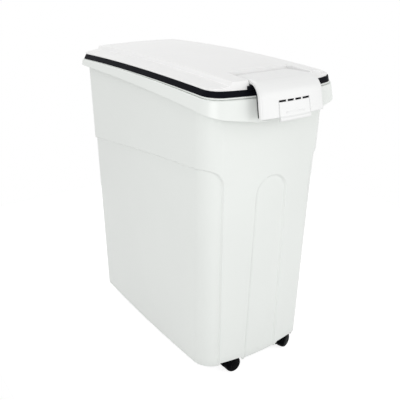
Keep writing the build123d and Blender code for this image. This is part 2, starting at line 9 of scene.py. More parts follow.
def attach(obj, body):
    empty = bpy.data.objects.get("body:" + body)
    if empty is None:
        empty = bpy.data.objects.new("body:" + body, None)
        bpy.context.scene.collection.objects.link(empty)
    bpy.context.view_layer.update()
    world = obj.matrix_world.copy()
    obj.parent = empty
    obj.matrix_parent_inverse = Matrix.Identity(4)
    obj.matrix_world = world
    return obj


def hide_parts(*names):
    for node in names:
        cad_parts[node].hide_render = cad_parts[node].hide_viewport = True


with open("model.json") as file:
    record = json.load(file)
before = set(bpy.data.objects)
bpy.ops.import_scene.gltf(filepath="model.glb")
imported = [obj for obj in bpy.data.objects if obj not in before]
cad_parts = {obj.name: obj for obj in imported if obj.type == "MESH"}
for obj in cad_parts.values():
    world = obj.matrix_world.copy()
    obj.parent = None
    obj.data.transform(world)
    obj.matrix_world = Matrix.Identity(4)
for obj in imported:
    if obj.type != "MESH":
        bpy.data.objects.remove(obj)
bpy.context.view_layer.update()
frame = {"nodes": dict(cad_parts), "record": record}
underside = next(mount for mount in frame["record"]["mounts"] if mount["name"] == "tub_underside")
tubOrigin = np.array(underside["pos_m"])  # middle of the tub's underside
print("frame loaded")

# Shapes below are in millimetres from the middle of the tub's underside.


def smooth(t):
    # ease from 0 to 1 with a level start and end
    t = np.clip(t, 0.0, 1.0)
    return t * t * (3 - 2 * t)


def spaced(keys, counts):
    # values that run through the keys, with a number of even steps between each two
    parts = [np.linspace(a, b, n, endpoint=False) for a, b, n in zip(keys[:-1], keys[1:], counts)]
    return np.concatenate(parts + [[keys[-1]]])


def unit(angle):
    return np.stack([np.cos(angle), np.sin(angle)], -1)


def raised(flat, z):
    # points of a plane with a height for all or one each
    return np.concatenate([flat, np.broadcast_to(z, flat.shape[:-1])[..., None]], -1)


def gridFaces(rows, columns, closeRows=False, closeColumns=False):
    # quads of a grid stored row by row; they face outwards when columns run counter-clockwise and rows go up
    r, c = np.meshgrid(np.arange(rows if closeRows else rows - 1),
                       np.arange(columns if closeColumns else columns - 1), indexing="ij")
    up, right = (r + 1) % rows, (c + 1) % columns
    quads = [r * columns + c, r * columns + right, up * columns + right, up * columns + c]
    return np.stack(quads, -1).reshape(-1, 4)


def arcThrough(a, b, c):
    # centre and radius of the circle through three points of a plane
    (ax, ay), (bx, by), (cx, cy) = a, b, c
    d = 2 * (ax * (by - cy) + bx * (cy - ay) + cx * (ay - by))
    aa, bb, cc = ax**2 + ay**2, bx**2 + by**2, cx**2 + cy**2
    ux = (aa * (by - cy) + bb * (cy - ay) + cc * (ay - by)) / d
    uy = (aa * (cx - bx) + bb * (ax - cx) + cc * (bx - ax)) / d
    return ux, uy, math.hypot(ax - ux, ay - uy)


def addObject(name, data):
    obj = bpy.data.objects.new(name, data)
    bpy.context.scene.collection.objects.link(obj)
    return obj


def addPiece(name, shells, body, look, replaced=(), weld=False):
    # shells of points and face arrays in millimetres become one mesh in metres, shaded smooth below an angle
    points, faces, count = [], [], 0
    for shellPoints, shellFaces in shells:
        points.append(np.asarray(shellPoints, float).reshape(-1, 3))
        for block in shellFaces:
            faces += (block + count).tolist()
        count += len(points[-1])
    mesh = bpy.data.meshes.new(name)
    mesh.from_pydata((np.concatenate(points) * 0.001 + tubOrigin).tolist(), [], faces)
    if weld:
        work = bmesh.new()
        work.from_mesh(mesh)
        bmesh.ops.remove_doubles(work, verts=work.verts, dist=2e-6)
        work.to_mesh(mesh)
        work.free()
    mesh.shade_smooth()
    mesh.set_sharp_from_angle(angle=math.radians(38.0))
    mesh.materials.append(finishes[look])
    obj = addObject(name, mesh)
    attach(obj, body)
    if replaced:
        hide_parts(*replaced)
    return obj


def tubeFaces(rows, columns):
    # sides and both ends of a tube stored row by row
    last = (rows - 1) * columns
    return [gridFaces(rows, columns, closeColumns=True), np.arange(columns)[None, ::-1],
            np.arange(last, last + columns)[None]]


def prism(outline, low, high, soften):
    # an outline in Y and Z carried from x = low to x = high, drawn in at both ends
    outline = np.asarray(outline, float)
    ahead = np.roll(outline, -1, 0) - outline
    behind = outline - np.roll(outline, 1, 0)
    ahead /= np.linalg.norm(ahead, axis=1)[:, None]
    behind /= np.linalg.norm(behind, axis=1)[:, None]
    area = np.sum(outline[:, 0] * np.roll(outline[:, 1], -1) - np.roll(outline[:, 0], -1) * outline[:, 1])
    mean = ahead + behind
    inward = np.stack([-mean[:, 1], mean[:, 0]], -1) * np.sign(area)
    inward /= np.maximum(np.linalg.norm(inward, axis=1)[:, None], 1e-9)
    inset = soften * np.array([1, 0.3, 0, 0, 0.3, 1])
    x = np.array([low, low + soften * 0.3, low + soften, high - soften, high - soften * 0.3, high])
    flat = outline[None] + inward[None] * inset[:, None, None]
    points = np.concatenate([np.broadcast_to(x[:, None, None], flat.shape[:2] + (1,)), flat], -1)
    if area < 0:
        points = points[:, ::-1]
    return points.reshape(-1, 3), tubeFaces(len(x), len(outline))


def prismPairs(outline, spans, soften):
    # prisms over spans of x and over their mirror images
    spans = spans + [(-high, -low) for low, high in spans]
    return [prism(outline, low, high, soften) for low, high in spans]


def roundOutline(y, z, radius, start, end, steps):
    # points of an arc in Y and Z, angles in degrees from +Y towards +Z
    return unit(np.radians(np.linspace(start, end, steps))) * radius + [y, z]


def wholeTurn(steps):
    return np.linspace(0, 2 * math.pi, steps, endpoint=False)


# Plans: a curved front and back, bowed sides and rounded corners, alike in tub, rim, seal and lid.

ends = {"nose": 450.0, "tail": 900.0}


def planArcs(halfWidth, front, back, bow, corners):
    # centres and radii of the arcs of half a plan; each value may be an array
    values = np.broadcast_arrays(halfWidth, front, back, bow, *corners)
    w, f, b, s, cutFront, cutBack = [np.array(value, float) for value in values]
    nose, tail = ends["nose"], ends["tail"]
    frontSide = f + nose - np.sqrt(nose**2 - w**2)
    backSide = b - tail + np.sqrt(tail**2 - w**2)
    halfSpan = (backSide - frontSide) / 2
    sideRadius = (halfSpan**2 + s**2) / (2 * s)
    sideX, sideY = w + s - sideRadius, (frontSide + backSide) / 2
    arcs = {"sideX": sideX, "sideY": sideY, "side": sideRadius, "noseY": f + nose, "nose": nose + 0 * f,
            "tailY": b - tail, "tail": tail + 0 * b, "cutFront": cutFront, "cutBack": cutBack}
    for name, endY, endRadius, cut, way in (("front", arcs["noseY"], nose, cutFront, -1),
                                            ("back", arcs["tailY"], tail, cutBack, 1)):
        # a corner's centre is endRadius - cut from the end's centre and sideRadius - cut from the side's
        dx, dy = sideX, sideY - endY
        apart = np.hypot(dx, dy)
        along = ((endRadius - cut) ** 2 - (sideRadius - cut) ** 2 + apart**2) / (2 * apart)
        across = np.sqrt((endRadius - cut) ** 2 - along**2)
        ax, ay = dx / apart, dy / apart
        flip = np.where(way * ax > 0, 1, -1)
        x = ax * along - flip * ay * across
        y = endY + ay * along + flip * ax * across
        arcs[name + "X"], arcs[name + "Y"] = x, y
        arcs[name + "Turn"] = np.arctan2(y - endY, x)
        arcs[name + "SideTurn"] = np.arctan2(y - sideY, x - sideX)
        arcs[name + "Tangent"] = endRadius * np.cos(arcs[name + "Turn"])
    return arcs


def halfLoop(arcs, frontKeys, backKeys, steps):
    # half a plan from the front's middle to the back's: x runs through frontKeys, then come the front
    # corner, side and back corner by angle, then x runs through backKeys. steps are (front, turns, back);
    # keys and arcs hold a row for each point.
    points, normals, place = [], [], 0
    turns = (("frontX", "frontY", "cutFront"), ("sideX", "sideY", "side"), ("backX", "backY", "cutBack"))
    keys = (frontKeys, None, [arcs["backTangent"]] + list(backKeys))
    for part, counts in enumerate(steps):
        for k, count in enumerate(counts):
            last = part == 2 and k == len(counts) - 1
            span = slice(place, place + count + last)
            place += count
            share = (np.arange(count + last) / count)[:, None]
            here = {name: value[span] for name, value in arcs.items()}
            hubX, hubY, radius = [here[name] for name in turns[(0, k, 2)[part]]]
            if part == 1:
                start = (-np.arccos(np.clip((frontKeys[-1][span] - hubX) / radius, -1, 1)),
                         here["frontSideTurn"], here["backSideTurn"])[k]
                end = (here["frontSideTurn"], here["backSideTurn"], here["backTurn"])[k]
                angle = start + (end - start) * share
            else:
                x = keys[part][k][span] * (1 - share) + keys[part][k + 1][span] * share
                middle = x <= here["frontTangent"] if part == 0 else x >= 0
                name = ("nose", "tail")[part // 2]
                hubX, hubY = np.where(middle, 0, hubX), np.where(middle, here[name + "Y"], hubY)
                radius = np.where(middle, here[name], radius)
                angle = (part - 1) * np.arccos(np.clip((x - hubX) / radius, -1, 1))
            normals.append(unit(angle))
            points.append(np.stack([hubX + radius * np.cos(angle), hubY + radius * np.sin(angle)], -1))
    return np.concatenate(points), np.concatenate(normals)


def pointCount(steps):
    # points of half a loop with these steps
    return sum(map(sum, steps)) + 1


def mirrored(values):
    # the other half of a loop, from the back's middle to the front's
    return np.concatenate([values, values[-2:0:-1] * ([-1] + [1] * (values.shape[-1] - 1))])


def depthInside(arcs, x, y):
    # how far a point lies inside a plan: the least distance to its arcs, and to a corner's arc within its angle
    x = np.abs(x)
    depth = np.minimum(arcs["nose"] - np.hypot(x, y - arcs["noseY"]), arcs["tail"] - np.hypot(x, y - arcs["tailY"]))
    depth = np.minimum(depth, arcs["side"] - np.hypot(x - arcs["sideX"], y - arcs["sideY"]))
    for name, first, last in (("front", "frontTurn", "frontSideTurn"), ("back", "backSideTurn", "backTurn")):
        dx, dy = x - arcs[name + "X"], y - arcs[name + "Y"]
        a, b = arcs[first], arcs[last]
        inCorner = (np.cos(a) * dy - np.sin(a) * dx > 0) & (dx * np.sin(b) - dy * np.cos(b) > 0)
        depth = np.where(inCorner, arcs["cut" + name.capitalize()] - np.hypot(dx, dy), depth)
    return depth


tub = {"height": 530.0, "wall": 2.6, "floor": 3.0, "baseHalf": 129.8, "topHalf": 136.8, "baseFront": -219.9,
       "topFront": -239.1, "baseBack": 234.2, "topBack": 245.0, "baseBow": 5.0, "topBow": 3.0,
       "baseCorners": (46.0, 21.0), "topCorners": (41.0, 26.0), "footRound": 1.5}
panel = {"depth": 3.5, "step": 3.4, "topFront": 419.5, "topMiddle": 399.5, "topBack": 366.0, "edgeLow": 95.5,
         "edgeHigh": 101.5, "edgeHeight": 387.0, "corner": 32.0, "archLow": 38.7, "archHigh": 34.6,
         "archSpring": 356.4, "level": 390.0, "belowTop": 69.5, "nearTop": 5.0}
rim = {"half": 137.0, "front": -250.6, "back": 265.0, "bow": 3.6, "corners": (34.0, 20.0), "sealFoot": 550.8,
       "sealHeight": 9.5, "sealLean": 4.9, "crownCentre": 4.6, "crownRadius": 4900.0, "outset": 1.8, "flare": 0.2,
       "wall": 2.6, "wallInset": 5.5, "webHeights": (540.3, 549.0, 543.0), "lowLevel": 532.0, "fallStart": 140.0,
       "fall": 15.5, "dip": 21.0, "dipReach": 17.0, "beadOut": 0.9, "gap": 0.3, "notchHalf": 38.0, "notchTop": 514.0,
       "slotHigh": 1.5, "slotDeep": 3.2}
casters = {"x": 69.0, "frontY": -195.0, "backY": 202.0, "wellRadius": 33.0, "wellHeight": 17.0, "bossRadius": 8.5,
           "bossTop": 43.6, "stemRadius": 4.0, "stemTop": 41.0, "windowHigh": 7.3, "windowHalf": 26.0,
           "windowBack": -190.0}


def crownDrop(y):
    # how far the lid's crown has fallen at y
    return rim["crownRadius"] - np.sqrt(rim["crownRadius"] ** 2 - (y - rim["crownCentre"]) ** 2)


def lineOver(heights, y):
    # height at y of the arc through three heights, at the rim's front, middle and back
    middle = (rim["front"] + rim["back"]) / 2
    cy, cz, radius = arcThrough((rim["front"], heights[0]), (middle, heights[1]), (rim["back"], heights[2]))
    return cz + np.sign(heights[1] - cz) * np.sqrt(radius**2 - (y - cy) ** 2)


def panelTop(y):
    return lineOver((panel["topFront"], panel["topMiddle"], panel["topBack"]), y)


def archHalf(z):
    return panel["archLow"] + (panel["archHigh"] - panel["archLow"]) * z / panel["archSpring"]


def edgeHalf(z):
    return panel["edgeLow"] + (panel["edgeHigh"] - panel["edgeLow"]) * z / panel["edgeHeight"]


def pressedIn(x, y, z):
    # depth of the pressed panels: an eased step across their outline, from the distance inside it
    x = np.abs(x)
    u, v, r = x - edgeHalf(z), panelTop(y) - z, panel["corner"]
    side = np.where((u < r) & (v < r), r - np.hypot(r - u, r - v), np.minimum(u, v))
    arch = np.where(z < panel["archSpring"], archHalf(z) - x, panel["archHigh"] - np.hypot(x, z - panel["archSpring"]))
    inside = np.where(y < 0, np.maximum(side, arch), side)
    return panel["depth"] * smooth(inside / panel["step"] + 0.5)


def tubArcs(z):
    share = np.asarray(z, float) / tub["height"]
    mix = {key: tub["base" + key] + (tub["top" + key] - tub["base" + key]) * share
           for key in ("Half", "Front", "Back", "Bow")}
    corners = [low + (high - low) * share for low, high in zip(tub["baseCorners"], tub["topCorners"])]
    return planArcs(mix["Half"], mix["Front"], mix["Back"], mix["Bow"], corners)


tubSteps = ((28, 14, 10, 14), (40, 34, 20), (4, 12, 10))


def tubLoop(z):
    # half of the tub's plan at the heights z (points, rows), with columns along the panels' upright edges
    edge, arch = edgeHalf(z), archHalf(z)
    return halfLoop(tubArcs(z), [0 * z, arch - 5, arch + 5, edge - 5, edge + 5], [edge + 5, edge - 5, 0 * z], tubSteps)


def levelLoop(z):
    return tubLoop(np.full((pointCount(tubSteps), 1), z))


def wallFoot(x, y):
    # height of the wall's lower edge, raised over the front wheels
    reach = casters["windowHalf"] - np.abs(np.abs(x) - casters["x"])
    return np.where(y < casters["windowBack"], casters["windowHigh"] * smooth((reach + 1.5) / 4.0), 0.0)


def wallShell():
    # outer skin going up, inner skin coming down, closed at the foot and at the top
    line = panelTop(levelLoop(panel["level"])[0][..., 1])
    base = levelLoop(0.0)[0]
    foot = wallFoot(base[..., 0], base[..., 1])
    top = tub["height"] + tub["wall"]
    r = tub["footRound"]

    def between(low, high, n):
        return low + (high - low) * (np.arange(1, n + 1) / n)[None]

    curved, below, above = line - panel["belowTop"], line - panel["nearTop"], line + panel["nearTop"]
    top = top + 0 * foot
    outer = [foot, foot + r * 0.3, foot + r, between(foot + r, curved, 22), between(curved, below, 50),
             between(below, above, 14), between(above, top - 1, 12), top - 0.3]
    inner = [top, between(top, above, 6), between(above, below, 6), between(below, curved, 16),
             between(curved, foot + 1.2, 12)]
    z = np.concatenate(outer + inner, 1)
    outerCount = sum(block.shape[1] for block in outer)
    inset = np.full(z.shape[1], tub["wall"])
    inset[:outerCount] = 0
    inset[:3] = (r, r * 0.3, 0)
    inset[outerCount - 1] = 0.3
    points, normals = tubLoop(z)
    pressed = pressedIn(points[..., 0], points[..., 1], z)
    points = points - normals * (pressed + inset)[..., None]
    points = mirrored(raised(points, z)).swapaxes(0, 1)
    rows, columns = points.shape[:2]
    return points, [gridFaces(rows, columns, closeRows=True, closeColumns=True)]


wellCentres = [(side * casters["x"], y) for side in (-1, 1) for y in (casters["frontY"], casters["backY"])]


def wellShell(centre):
    # a caster's well and boss: a turned profile whose radius stops at the tub's wall on the outer side
    angle = wholeTurn(96)
    far = np.linspace(0, casters["wellRadius"] + tub["wall"], 360)
    x, y = np.moveaxis(unit(angle) * far[:, None, None] + centre, -1, 0)
    z = casters["wellHeight"] / 2
    depth = depthInside(tubArcs(z), x, y) - pressedIn(x, y, z)

    def stopped(limit, most):
        return np.minimum(most, np.where(depth > limit, far[:, None], 0).max(0))

    bore = stopped(tub["wall"] + 0.2, casters["wellRadius"])
    outer = np.maximum(stopped(tub["wall"] / 2, casters["wellRadius"] + tub["wall"]), bore + 0.2)
    foot = wallFoot(*(unit(angle) * outer[:, None] + centre).T)
    roof, boss, stem = casters["wellHeight"], casters["bossRadius"], casters["stemRadius"]
    wide = 0 * angle
    rows = [(0, casters["stemTop"]), (stem, casters["stemTop"]), (stem, roof + 0.5),
            (stem + 0.5, roof), (bore - 2.2, roof), (bore - 0.6, roof - 0.7), (bore, roof - 2.4),
            (bore, foot + 0.6), (bore + 0.05, foot + 0.01), (outer - 0.05, foot + 0.01), (outer, foot + 0.6),
            (outer, roof + 0.2), (outer - 0.7, roof + 1.9), (outer - 2.4, roof + 2.6), (boss + 1.6, roof + 2.6),
            (boss + 0.4, roof + 3.1), (boss, roof + 4.4), (boss - 0.2, casters["bossTop"] - 1),
            (boss - 1.2, casters["bossTop"]), (0, casters["bossTop"])]
    radius, height = [np.array([row[k] + wide for row in rows]) for k in (0, 1)]
    points = raised(unit(angle) * radius[..., None] + centre, height)
    return points, [gridFaces(len(rows), len(angle), closeColumns=True)]


def floorShell():
    # a flat slab inside the wall's foot with a round hole at each well, from a constrained triangulation
    middleZ = tub["floor"] / 2
    points, normals = levelLoop(middleZ)
    pressed = pressedIn(points[..., 0], points[..., 1], middleZ)
    edge = mirrored((points - normals * (pressed + tub["wall"] / 2)[..., None])[:, 0])
    radius = casters["wellRadius"] + 1
    loops = [edge] + [unit(wholeTurn(72)) * radius + centre for centre in wellCentres]
    edges, start = [], 0
    for loop in loops:
        n = len(loop)
        edges += np.stack([start + np.arange(n), start + (np.arange(n) + 1) % n], -1).tolist()
        start += n
    flat, _, triangles, *_ = geometry.delaunay_2d_cdt([Vector(p) for p in np.concatenate(loops).tolist()],
                                                      edges, [], 0, 1e-4)
    flat = np.array([p[:] for p in flat])
    triangles = np.array([t for t in triangles if len(t) == 3])
    middle = flat[triangles].mean(1)
    x, y = middle.T
    keep = depthInside(tubArcs(middleZ), x, y) > pressedIn(x, y, middleZ) + 1.2
    for centreX, centreY in wellCentres:
        keep &= np.hypot(x - centreX, y - centreY) > radius - 0.02
    triangles = triangles[keep]
    a, b, c = flat[triangles].swapaxes(0, 1)
    turn = (b - a)[:, 0] * (c - a)[:, 1] - (b - a)[:, 1] * (c - a)[:, 0]
    triangles[turn < 0] = triangles[turn < 0][:, ::-1]
    sides = np.concatenate([triangles[:, [0, 1]], triangles[:, [1, 2]], triangles[:, [2, 0]]])
    _, first, times = np.unique(np.sort(sides, 1), axis=0, return_index=True, return_counts=True)
    border = sides[first[times == 1]]
    n = len(flat)
    walls = np.stack([border[:, 0], border[:, 1], border[:, 1] + n, border[:, 0] + n], -1)
    return np.concatenate([raised(flat, 0.0), raised(flat, tub["floor"])]), [triangles + n, triangles[:, ::-1], walls]


rimArcs = planArcs(rim["half"], rim["front"], rim["back"], rim["bow"], rim["corners"])
rimArcs = {key: float(value) for key, value in rimArcs.items()}
rimSteps = ((16, 12, 18), (24, 44, 16), (34,))
zero = np.zeros((pointCount(rimSteps), 1))
rimKeys = [zero, zero + rim["notchHalf"] - 2.5, zero + rim["notchHalf"] + 2.5, zero + rimArcs["frontTangent"]]
# the whole plan of the seal's lower edge and its outward normals
rimPoints, rimNormals = [mirrored(values[:, 0]) for values in halfLoop(
    {key: value + zero for key, value in rimArcs.items()}, rimKeys, [zero], rimSteps)]


def ringShell(rows):
    # rows of (outset, height) from the rim's plan, each a number or one for every column
    outset, height = [np.array([row[k] + 0 * rimPoints[:, 0] for row in rows]) for k in (0, 1)]
    points = raised(rimPoints + rimNormals * outset[..., None], height)
    return points, [gridFaces(len(rows), len(rimPoints), closeRows=True, closeColumns=True)]


def skirtLow(y):
    # the skirt's lower edge: level at the back, a slow fall along the sides and a quick dip round the front
    front = rim["front"] - rim["outset"] - rim["flare"] * 52
    fall = rim["fall"] * np.maximum((rim["fallStart"] - y) / (rim["fallStart"] - front), 0) ** 2
    return rim["lowLevel"] - fall - rim["dip"] * np.exp((front - y) / rim["dipReach"])


def rimShells():
    # one closed profile round the rim: skirt, web, groove, bead and rim wall; and the step below it
    x, y = rimPoints.T
    web = lineOver(rim["webHeights"], y)
    outerY = y + rimNormals[:, 1] * (rim["outset"] + rim["flare"] * 40)
    notch = smooth((rim["notchHalf"] - np.abs(x) + 1.4) / 2.8) * (y < 0)
    low = skirtLow(outerY)
    low = low + (rim["notchTop"] - low) * notch
    bead = rim["sealFoot"] - crownDrop(y) - rim["gap"]
    fade = smooth((120 - y) / 300)
    high, deep = [rim[key] * (0.3 + 0.7 * fade) for key in ("slotHigh", "slotDeep")]

    def face(z):
        return rim["outset"] + rim["flare"] * (rim["sealFoot"] - z)

    wall, inset, out, height = rim["wall"], -rim["wallInset"], rim["beadOut"], tub["height"]
    upLow, upHigh, under = low + 1.4, web - 1.6, web - wall
    rows = [(face(low) - 2.1, low + 0.4), (face(low) - 1.3, low), (face(low) - 0.6, low + 0.12),
            (face(low) - 0.16, low + 0.6)]
    levels = [upLow + (upHigh - upLow) * share for share in np.linspace(0, 1, 12)]
    rows += [(face(level), level) for level in levels]
    rows += [(face(web) - 0.12, web - 0.75), (face(web) - 0.45, web - 0.22), (face(web) - 0.95, web),
             (out, web - 0.1), (out - deep, web - 0.2), (out - deep, web + high), (out, web + high),
             (out, bead - 0.45), (out - 0.14, bead - 0.12), (out - 0.5, bead), (inset + 0.5, bead),
             (inset, bead - 0.5), (inset, height + 6), (inset, height + 0.5), (inset + 0.4, height),
             (inset + wall, height), (inset + wall, under - 0.4), (inset + 3.0, under), (face(under) - 3.0, under),
             (face(under) - wall, under - 0.6), (face(low) - wall, low + 1.0)]
    arcs = tubArcs(height)
    inward = np.zeros(len(x))
    for _ in range(6):
        depth = depthInside(arcs, x - rimNormals[:, 0] * inward, y - rimNormals[:, 1] * inward)
        inward = inward + (tub["wall"] / 2 - depth)
    inward = np.maximum(inward, 5.0)
    top = height + tub["wall"]
    return [ringShell(rows), ringShell([(-3.4, height + 0.05), (-3.4, top), (-inward, top), (-inward, height + 0.05)])]


hinge = {"y": 277.6, "z": 545.6, "centre": 75.0, "armWidth": 10.0, "earWidth": 5.0, "sideGap": 0.6, "earRadius": 5.85,
         "armRadius": 5.4, "rootInset": 5.2}


def earShells():
    # pairs of ears on the back of the skirt: a wedge that carries a round end
    y, z, r = hinge["y"], hinge["z"], hinge["earRadius"]
    root = rim["back"] - 3.2
    outline = np.concatenate([[(root, z - 2 * r), (rim["back"] + 2.6, z - 2 * r)], roundOutline(y, z, r, -45, 150, 22),
                              [(root, z - r / 2)]])
    inner = hinge["centre"] - hinge["armWidth"] / 2 - hinge["sideGap"]
    outer = hinge["centre"] + hinge["armWidth"] / 2 + hinge["sideGap"]
    return prismPairs(outline, [(inner - hinge["earWidth"], inner), (outer, outer + hinge["earWidth"])], 0.5)


catch = {"front": -270.2, "back": -251.0, "low": 520.8, "high": 525.2, "half": 24.0}


def catchShell():
    # the ledge behind which the flap's hook snaps
    front, back, low, high = [catch[key] for key in ("front", "back", "low", "high")]
    outline = [(front, low + 1.2), (front + 1.4, low), (back, low), (back, high), (front + 0.6, high),
               (front, high - 0.6)]
    return prism(outline, -catch["half"], catch["half"], 0.5)


print("plans ready")


# Seal, lid and latch

seal = {"ribs": 5, "ribDepth": 0.22, "inner": -6.8, "cornerX": (88.0, 30.0), "cornerY": (-196.0, 34.0),
        "cornerOut": 2.6}


def sealShell():
    # outset falls evenly from the foot to the top, with fine grooves along the seal; the inside is upright
    # and it stands steeper round the front corners, beyond the lid's edge
    y = rimPoints[:, 1]
    foot = rim["sealFoot"] - crownDrop(y)
    (startX, spanX), (startY, spanY) = seal["cornerX"], seal["cornerY"]
    corner = smooth((np.abs(rimPoints[:, 0]) - startX) / spanX) * smooth((startY - y) / spanY)
    lean = rim["sealLean"] - seal["cornerOut"] * corner
    rows = [(seal["inner"] + 0.4, foot), (-0.5, foot), (-0.14, foot + 0.12)]
    for t in np.linspace(0.04, 0.955, 28):
        groove = seal["ribDepth"] * (0.5 - 0.5 * math.cos(2 * math.pi * seal["ribs"] * t)) ** 2
        rows.append((-lean * t - groove, foot + rim["sealHeight"] * t))
    top = foot + rim["sealHeight"]
    rows += [(-lean - 0.25, top - 0.1), (-lean - 0.7, top), (seal["inner"] + 0.4, top),
             (seal["inner"], top - 0.4), (seal["inner"], foot + 0.4)]
    return ringShell(rows)


lid = {"edge": -4.6, "edgeRound": 0.9, "wall": 2.6, "apronFoot": 562.6, "apronX": 135.7, "deckHalf": 97.0,
       "deckSlope": 4.0, "deckFoot": 567.3, "deckTop": 574.4, "deckRise": 2.1, "deckFront": -238.0, "deckBack": 248.0,
       "deckEnd": 4.0, "bayRear": 66.0, "bayFront": 71.5, "bayRun": 219.5, "bayTop": -180.5, "bayFoot": -186.5,
       "bayFloor": 565.5, "troughRear": -186.3, "troughFront": -205.5, "troughFloor": 554.6, "plugOut": -7.1,
       "plugWall": 2.4, "plugDepth": 10.0, "pack": 0.02}


def bayHalf(y):
    return lid["bayRear"] + (lid["bayFront"] - lid["bayRear"]) * (lid["bayTop"] - y) / lid["bayRun"]


def ramp(value, start, end):
    # eased step whose corners are rounded and whose middle is nearly straight
    t = np.clip((value - start) / (end - start), 0, 1)
    return np.where(t < 0.25, t * t * 8 / 3, np.where(t > 0.75, 1 - (1 - t) ** 2 * 8 / 3, (t - 0.125) * 4 / 3))


def lidHeight(x, y, grow):
    # the lid's top face, or with grow its underside: apron, raised deck with sloping sides, latch bay and trough
    def falls(value, start, end, soft):
        return ramp(-value, -start - soft, -end + soft)

    ax = np.abs(x)
    edge = lid["deckHalf"] + lid["deckSlope"]
    share = np.clip((ax - (edge - grow)) / (lid["apronX"] - edge), 0, 1)
    apron = lid["deckFoot"] + (lid["apronFoot"] - lid["deckFoot"]) * share - grow
    half = lid["deckHalf"] - grow
    deck = lid["deckTop"] - grow + lid["deckRise"] * (1 - np.minimum(ax / half, 1) ** 2)
    front, back = lid["deckFront"] + grow, lid["deckBack"] - grow
    along = ramp(y, front - lid["deckEnd"], front) * falls(y, back + lid["deckEnd"], back, 0)
    z = apron + (deck - apron) * falls(ax, half + lid["deckSlope"], half, 0.6) * along
    side = falls(ax, bayHalf(y) + grow, bayHalf(y) + grow, 0.7)
    z = z + (lid["bayFloor"] - grow - z) * side * falls(y, lid["bayTop"] + grow, lid["bayFoot"] + grow, 0.5)
    front, rear = lid["troughFront"] - grow, lid["troughRear"] + grow
    trough = ramp(y, front - 0.5, front + 0.5) * falls(y, rear, rear, 0.5)
    drop = crownDrop(y)
    return z - drop + (lid["troughFloor"] - grow - z + drop) * side * trough


lidKeysY = spaced([-247.0, -242.6, -237.4, -206.6, -204.4, -187.9, -185.3, -179.6, -176.0, 246.4, 253.6, 262.0],
                  [5, 12, 12, 8, 7, 8, 18, 3, 80, 14, 4])
lidKeysX = ((-1.6, 1.6, 95.6, 102.4, 104.0), (20, 9, 9, 16, 2))


def lidEdge():
    # points and normals of the rim's plan for the lid's boundary, once round from the front's left: by column
    # on the front and back, by row on the sides
    outset = lid["edge"] - lid["edgeRound"]
    front = -np.arccos(lidColumns(lidKeysY[:1, None])[0] / (ends["nose"] + outset))
    back = np.arccos(lidColumns(lidKeysY[-1:, None])[0] / (ends["tail"] + outset))
    noseY, tailY, steps = rimArcs["noseY"], rimArcs["tailY"], 600
    turns = [(0, noseY, ends["nose"], front[-1], rimArcs["frontTurn"]),
             [rimArcs[key] for key in ("frontX", "frontY", "cutFront", "frontTurn", "frontSideTurn")],
             [rimArcs[key] for key in ("sideX", "sideY", "side", "frontSideTurn", "backSideTurn")],
             [rimArcs[key] for key in ("backX", "backY", "cutBack", "backSideTurn", "backTurn")],
             (0, tailY, ends["tail"], rimArcs["backTurn"], back[-1])]
    angle = np.concatenate([np.linspace(a, b, steps) for *_, a, b in turns])
    hubs = np.repeat([turn[:3] for turn in turns], steps, 0)
    normal = unit(angle)
    base = hubs[:, :2] + normal * hubs[:, 2:]
    edge = base + normal * outset
    run = np.concatenate([[0], np.cumsum(np.hypot(*np.diff(edge, axis=0).T))])
    yFront, yBack = edge[0, 1], edge[-1, 1]
    order = lid["pack"] * np.arange(len(lidKeysY))
    y = np.clip(lidKeysY, yFront + order, yBack - order[::-1])
    start, end = 2 * steps - 1, 3 * steps
    level = np.interp(y, edge[start:end + 1, 1], run[start:end + 1])
    yA, yB = edge[start, 1], edge[end, 1]
    along = np.where(y < yA, run[start] * (y - yFront) / (yA - yFront),
                     np.where(y > yB, run[end] + (run[-1] - run[end]) * (y - yB) / (yBack - yB), level))
    side, sideNormal = [np.stack([np.interp(along, run, values[:, k]) for k in (0, 1)], -1)
                        for values in (base, normal)]
    sideNormal /= np.linalg.norm(sideNormal, axis=1)[:, None]
    frontNormal, backNormal = unit(front), unit(back)
    flip = np.array([-1, 1])

    def wholeLoop(nose, middle, tail):
        return np.concatenate([nose[:0:-1] * flip, nose, middle[1:-1], tail[::-1], tail[1:] * flip,
                               middle[-2:0:-1] * flip])

    return {"base": wholeLoop(frontNormal * ends["nose"] + [0, noseY], side, backNormal * ends["tail"] + [0, tailY]),
            "normal": wholeLoop(frontNormal, sideNormal, backNormal), "side": side, "sideNormal": sideNormal}


def lidColumns(y):
    # x of the columns of the lid's middle sheet, which follow the bay's sides and the deck's slopes
    (low, high, *rest), steps = lidKeysX
    bay = bayHalf(np.clip(y, -250, 270))
    keys = [0 * bay, bay + low, bay + high] + [0 * bay + value for value in rest]
    parts = [a + (b - a) * (np.arange(n) / n) for a, b, n in zip(keys[:-1], keys[1:], steps)]
    return np.concatenate(parts + [keys[-1]], 1)


lidLoop = lidEdge()


